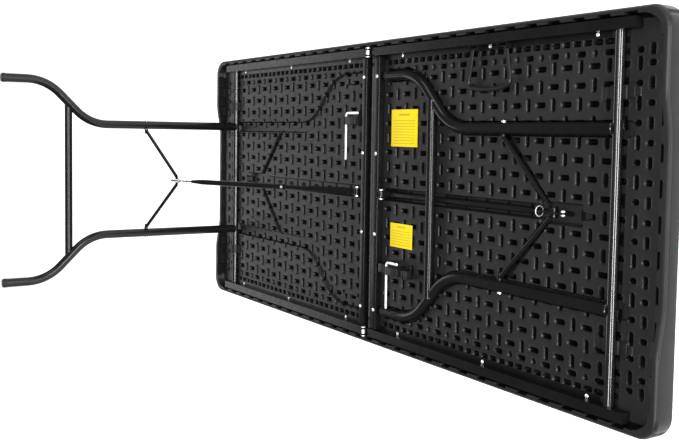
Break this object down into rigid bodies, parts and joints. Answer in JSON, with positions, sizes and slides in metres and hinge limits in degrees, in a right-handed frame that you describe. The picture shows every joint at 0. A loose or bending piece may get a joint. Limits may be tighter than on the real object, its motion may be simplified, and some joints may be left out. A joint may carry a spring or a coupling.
{
  "type": "folding table",
  "caption": "Rectangular moulded plastic table that folds in half at a centre hinge, shown underside up, with folding tubular leg frames, telescopic braces, wire latches and a handle.",
  "frame": {"origin": "bottom centre of the bounding box: on the working face of the open worktop, which lies face down", "axes": "+Z out of the underside, towards the raised foot; +X along the length, from the half with the raised leg frame to the half with the folded one; +Y across the width, towards the side with the carrying handle"},
  "size_m": [1.828, 0.762, 0.7602],
  "materials": {
    "panel": "moulded charcoal polyethylene, fine grain",
    "frame_steel": "satin black powder coat",
    "leg_steel": "satin dark grey powder coat",
    "pivot_steel": "gloss black enamel",
    "zinc": "bright zinc plate",
    "cap_rubber": "matt black",
    "latch_plastic": "moulded dark grey",
    "handle_plastic": "moulded charcoal",
    "label": "printed yellow film"
  },
  "bodies": {
    "left_half": {"left_panel": "panel", "left_front_rail": "frame_steel", "left_back_rail": "frame_steel", "left_centre_beam": "frame_steel", "left_saddles": "latch_plastic", "left_strut_bracket": "frame_steel", "left_strut_bolt": "zinc", "left_latch_block": "latch_plastic", "left_rail_screws": "zinc", "left_beam_screws": "zinc"},
    "hinge_pins": {"hinge_pins": "zinc"},
    "right_half": {"right_panel": "panel", "right_front_rail": "frame_steel", "right_back_rail": "frame_steel", "right_centre_beam": "frame_steel", "right_saddles": "latch_plastic", "right_strut_bracket": "frame_steel", "right_strut_bolt": "zinc", "right_latch_block": "latch_plastic", "right_rail_screws": "zinc", "right_beam_screws": "zinc", "handle_bracket": "frame_steel", "handle_pins": "zinc", "upper_label": "label", "lower_label": "label"},
    "left_leg": {"left_pivot_tube": "pivot_steel", "left_front_leg_tube": "leg_steel", "left_back_leg_tube": "leg_steel", "left_crossbar": "leg_steel", "left_foot_caps": "cap_rubber", "left_brace_bolts": "zinc"},
    "left_strut": {"left_strut_sleeve": "leg_steel", "left_strut_core": "leg_steel"},
    "left_slider": {"left_sliding_tube": "leg_steel", "left_slider_bar": "zinc", "left_stop_screw": "zinc", "left_joint_bolt": "zinc"},
    "left_brace": {"left_front_arm": "leg_steel", "left_back_arm": "leg_steel"},
    "left_ring": {"left_lock_ring": "zinc"},
    "left_latch": {"left_latch_wire": "zinc"},
    "right_leg": {"right_pivot_tube": "pivot_steel", "right_front_leg_tube": "leg_steel", "right_back_leg_tube": "leg_steel", "right_crossbar": "leg_steel", "right_foot_caps": "cap_rubber", "right_brace_bolts": "zinc"},
    "right_strut": {"right_strut_sleeve": "leg_steel", "right_strut_core": "leg_steel"},
    "right_slider": {"right_sliding_tube": "leg_steel", "right_slider_bar": "zinc", "right_stop_screw": "zinc", "right_joint_bolt": "zinc"},
    "right_brace": {"right_front_arm": "leg_steel", "right_back_arm": "leg_steel"},
    "right_ring": {"right_lock_ring": "zinc"},
    "right_latch": {"right_latch_wire": "zinc"},
    "handle": {"carrying_handle": "handle_plastic"}
  },
  "joints": [
    {"name": "fold_left", "type": "hinge", "parent": "left_half", "child": "hinge_pins", "pos_m": [0, 0, 0.046], "axis": [0, -1, 0], "range_deg": [0, 90]},
    {"name": "fold_right", "type": "hinge", "parent": "hinge_pins", "child": "right_half", "pos_m": [0, 0, 0.046], "axis": [0, -1, 0], "range_deg": [0, 90]},
    {"name": "left_leg", "type": "hinge", "parent": "left_half", "child": "left_leg", "pos_m": [-0.793, 0, 0.0282], "axis": [0, 1, 0], "range_deg": [0, 90]},
    {"name": "right_leg", "type": "hinge", "parent": "right_half", "child": "right_leg", "pos_m": [0.793, 0, 0.0282], "axis": [0, -1, 0], "range_deg": [-90, 0]},
    {"name": "left_strut", "type": "hinge", "parent": "left_half", "child": "left_strut", "pos_m": [-0.055, 0, 0.036], "axis": [0, 1, 0], "range_deg": [-23.43, 0.05]},
    {"name": "right_strut", "type": "hinge", "parent": "right_half", "child": "right_strut", "pos_m": [0.055, 0, 0.036], "axis": [0, -1, 0], "range_deg": [-0.05, 23.43]},
    {"name": "left_slide", "type": "slide", "parent": "left_strut", "child": "left_slider", "axis": [0.9179, 0, -0.3969], "range_m": [-0.0002, 0.08252]},
    {"name": "right_slide", "type": "slide", "parent": "right_strut", "child": "right_slider", "axis": [-1, 0, 0], "range_m": [-0.08252, 0.0002]},
    {"name": "left_brace", "type": "hinge", "parent": "left_slider", "child": "left_brace", "pos_m": [-0.66484, 0, 0.27679], "axis": [0, 1, 0], "range_deg": [-0.05, 174.62]},
    {"name": "right_brace", "type": "hinge", "parent": "right_slider", "child": "right_brace", "pos_m": [0.628, 0, 0.015], "axis": [0, -1, 0], "range_deg": [-174.62, 0.05]},
    {"name": "left_ring", "type": "slide", "parent": "left_slider", "child": "left_ring", "axis": [0.9179, 0, -0.3969], "range_m": [0, 0.06]},
    {"name": "right_ring", "type": "slide", "parent": "right_slider", "child": "right_ring", "axis": [-1, 0, 0], "range_m": [0, 0.06]},
    {"name": "left_latch", "type": "hinge", "parent": "left_half", "child": "left_latch", "pos_m": [-0.073, 0.203, 0.0433], "axis": [-1, 0, 0], "range_deg": [0, 180]},
    {"name": "right_latch", "type": "hinge", "parent": "right_half", "child": "right_latch", "pos_m": [0.116, -0.165, 0.0433], "axis": [1, 0, 0], "range_deg": [-180, 0]},
    {"name": "handle", "type": "hinge", "parent": "right_half", "child": "handle", "pos_m": [0.443, 0.336, 0.033], "axis": [1, 0, 0], "range_deg": [-105, 0]}
  ],
  "couplings": [
    {"joint": "left_strut", "follows": "left_leg", "ratio": -0.25979},
    {"joint": "right_strut", "follows": "right_leg", "ratio": -0.25979},
    {"joint": "left_slide", "follows": "left_leg", "m_per_rad": 0.052406},
    {"joint": "right_slide", "follows": "right_leg", "m_per_rad": 0.052406},
    {"joint": "left_brace", "follows": "left_leg", "ratio": 1.9397},
    {"joint": "right_brace", "follows": "right_leg", "ratio": 1.9397}
  ]
}
